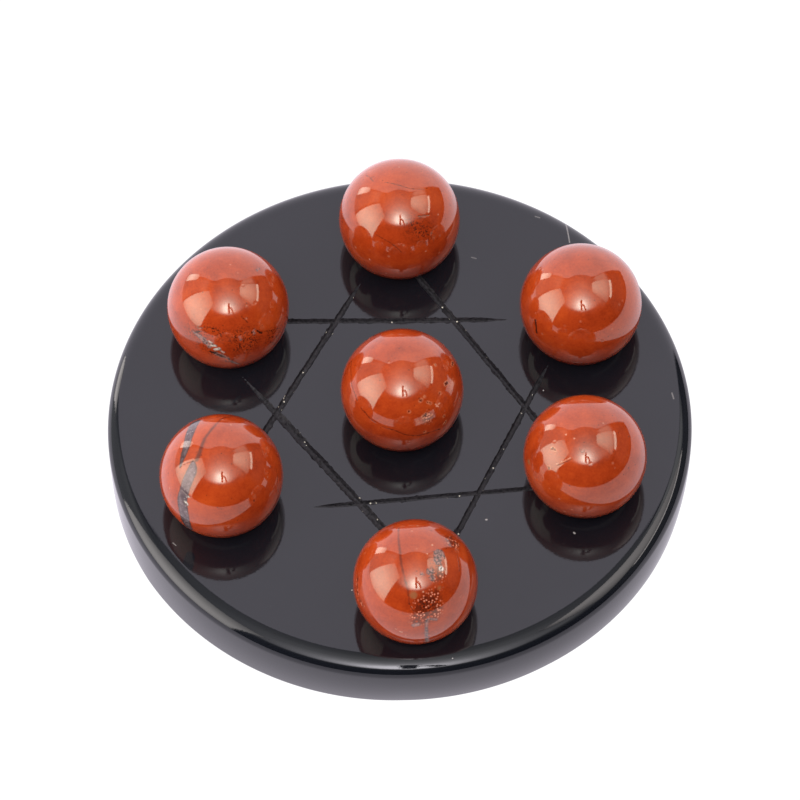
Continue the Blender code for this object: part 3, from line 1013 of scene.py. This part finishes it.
def eased(points, steps=6):
    """Points along a smooth curve through the given ones."""
    if len(points) < 3:
        return list(points)
    padded = [points[0], *points, points[-1]]
    made = []
    for a, b, c, d in zip(padded, padded[1:], padded[2:], padded[3:]):
        for i in range(steps):
            t = i / steps
            made.append(0.5 * (2 * b + (c - a) * t + (2 * a - 5 * b + 4 * c - d) * t * t
                               + (3 * b - a - 3 * c + d) * t * t * t))
    made.append(points[-1])
    return made


def mark_distance(surface, half_width, spots, axes, radius):
    """Distance in millimetres from each surface point to the edge of one mark; negative inside."""
    widths = half_width if isinstance(half_width, tuple) else (half_width,) * len(spots)
    path = [Vector((*on_ball(s, axes), w)) for s, w in zip(spots, widths)]
    path = np.array(eased(path))
    places = path[:, :3] / np.linalg.norm(path[:, :3], axis=1)[:, None] * radius
    if len(places) == 1:
        return np.linalg.norm(surface - places[0], axis=1) - path[0, 3]
    nearest = np.full(len(surface), NO_MARK)
    for a, b, wa, wb in zip(places, places[1:], path[:, 3], path[1:, 3]):
        run = b - a
        t = np.clip((surface - a) @ run / max(run @ run, 1e-9), 0, 1)
        gap = np.linalg.norm(surface - a - t[:, None] * run, axis=1) - (wa + (wb - wa) * t)
        nearest = np.minimum(nearest, gap)
    return nearest


# Relief of a ball, in millimetres: how many slow waves it is out of round by and their pace over the ball,
# the open pits (width, depth and how pale they look), and the hollows along cracks and torn quartz.
WAVE_COUNT, WAVES = 5, (1.2, 3.2)
PIT_WIDTH, PIT_DEPTH, PIT_PALENESS = (0.14, 0.30), (0.02, 0.05), (0.1, 0.7)
CRACK_WIDTH, CRACK_DEPTH = 0.16, 0.012
QUARTZ_WIDTH, QUARTZ_DEPTH = 0.3, 0.05
BALL_SEED = 100


def random_way(rng):
    """A unit vector in no particular direction."""
    way = np.array([rng.gauss(0, 1) for _ in range(3)])
    return way / np.linalg.norm(way)


def dip(distance, width):
    """Smooth hollow, 1 at the middle and 0 beyond the width."""
    return np.clip(1 - distance / width, 0, 1) ** 2 * (1 + 2 * np.clip(distance / width, 0, 1))


def jasper_ball(name, look, unit, faces, material, rng):
    """One ball: out of round by a few microns, with its own marks, cracks and open pits."""
    centre = ball_centre(name)
    radius = ball_radius(name) * PER_MM
    axes = ball_frame(centre)
    surface = unit * radius
    layers = {layer: np.full(len(unit), NO_MARK) for layer in LAYERS}
    for layer, rows in MARKS[name].items():
        for half_width, *spots in rows:
            found = mark_distance(surface, half_width, spots, axes, radius)
            layers[layer] = np.minimum(layers[layer], found)
    sunk = np.zeros(len(unit))
    for _ in range(WAVE_COUNT):
        axis = random_way(rng)
        wave = rng.uniform(*WAVES)
        sunk += (1 - np.cos(unit @ axis * wave + rng.uniform(0, 6.3))) / (2 * WAVE_COUNT)
    sunk *= look.out_of_round * PER_MM
    pit_mask = np.zeros(len(unit))
    for _ in range(look.pits):
        way = random_way(rng)
        width = rng.uniform(*PIT_WIDTH)
        hollow = dip(np.linalg.norm(surface - way * radius, axis=1), width)
        sunk += hollow * rng.uniform(*PIT_DEPTH)
        pit_mask = np.maximum(pit_mask, hollow * rng.uniform(*PIT_PALENESS))
    sunk += dip(np.maximum(layers["dark"], 0), CRACK_WIDTH) * CRACK_DEPTH
    sunk += dip(np.maximum(layers["quartz"] + 0.2, 0), QUARTZ_WIDTH) * QUARTZ_DEPTH
    made = unit * (radius - sunk)[:, None] * MM + np.array(centre)
    mesh = bpy.data.meshes.new(name.replace("ball", "jasper_ball"))
    mesh.from_pydata(made.tolist(), [], faces)
    mesh.shade_smooth()
    for layer, values in (*layers.items(), ("pit", pit_mask)):
        stored = mesh.attributes.new(layer, "FLOAT", "POINT")
        stored.data.foreach_set("value", values.astype(np.float32))
    mesh.materials.append(material)
    return mesh_object(mesh.name, mesh)


class STONEBOARD_OT_balls(bpy.types.Operator):
    """Build the seven jasper balls"""

    bl_idname = "stoneboard.balls"
    bl_label = "Jasper balls"
    bl_options = {"REGISTER", "UNDO"}

    def execute(self, context):
        look = context.scene.stoneboard_balls
        form = bmesh.new()
        bmesh.ops.create_icosphere(form, subdivisions=look.fineness, radius=1.0)
        unit = np.array([v.co for v in form.verts])
        unit /= np.linalg.norm(unit, axis=1)[:, None]
        faces = [[v.index for v in f.verts] for f in form.faces]
        form.free()
        material = jasper(look)
        for seed, (name, body) in enumerate(BALLS.items()):
            ball = jasper_ball(name, look, unit, faces, material, random.Random(BALL_SEED + seed))
            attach(ball, body)
            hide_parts(name)
        return {"FINISHED"}


# ---------------------------------------------------------------- panel and start


class STONEBOARD_PT_sidebar(bpy.types.Panel):
    """Sidebar panel with the sizes, the colours and the makers"""

    bl_idname = "STONEBOARD_PT_sidebar"
    bl_label = "Stone Ball Board"
    bl_space_type = "VIEW_3D"
    bl_region_type = "UI"
    bl_category = "Stone Board"

    def draw(self, context):
        for owner, maker in (("stoneboard_studio", STONEBOARD_OT_studio),
                             ("stoneboard_plate", STONEBOARD_OT_plate),
                             ("stoneboard_balls", STONEBOARD_OT_balls)):
            box = self.layout.box()
            settings = getattr(context.scene, owner)
            for key in settings.__annotations__:
                box.prop(settings, key)
            box.operator(maker.bl_idname)


CLASSES = (
    StoneBoardPlate,
    StoneBoardBalls,
    StoneBoardStudio,
    STONEBOARD_OT_studio,
    STONEBOARD_OT_plate,
    STONEBOARD_OT_balls,
    STONEBOARD_PT_sidebar,
)


def register():
    """Make the settings, makers and panel known to Blender."""
    for made in CLASSES:
        bpy.utils.register_class(made)
    bpy.types.Scene.stoneboard_plate = PointerProperty(type=StoneBoardPlate)
    bpy.types.Scene.stoneboard_balls = PointerProperty(type=StoneBoardBalls)
    bpy.types.Scene.stoneboard_studio = PointerProperty(type=StoneBoardStudio)


def unregister():
    """Take the settings, makers and panel away again."""
    del bpy.types.Scene.stoneboard_plate
    del bpy.types.Scene.stoneboard_balls
    del bpy.types.Scene.stoneboard_studio
    for made in reversed(CLASSES):
        bpy.utils.unregister_class(made)


def main():
    """Build the whole board."""
    register()
    bpy.ops.stoneboard.studio()
    bpy.ops.stoneboard.plate()
    bpy.ops.stoneboard.balls()


if __name__ == "__main__":
    main()
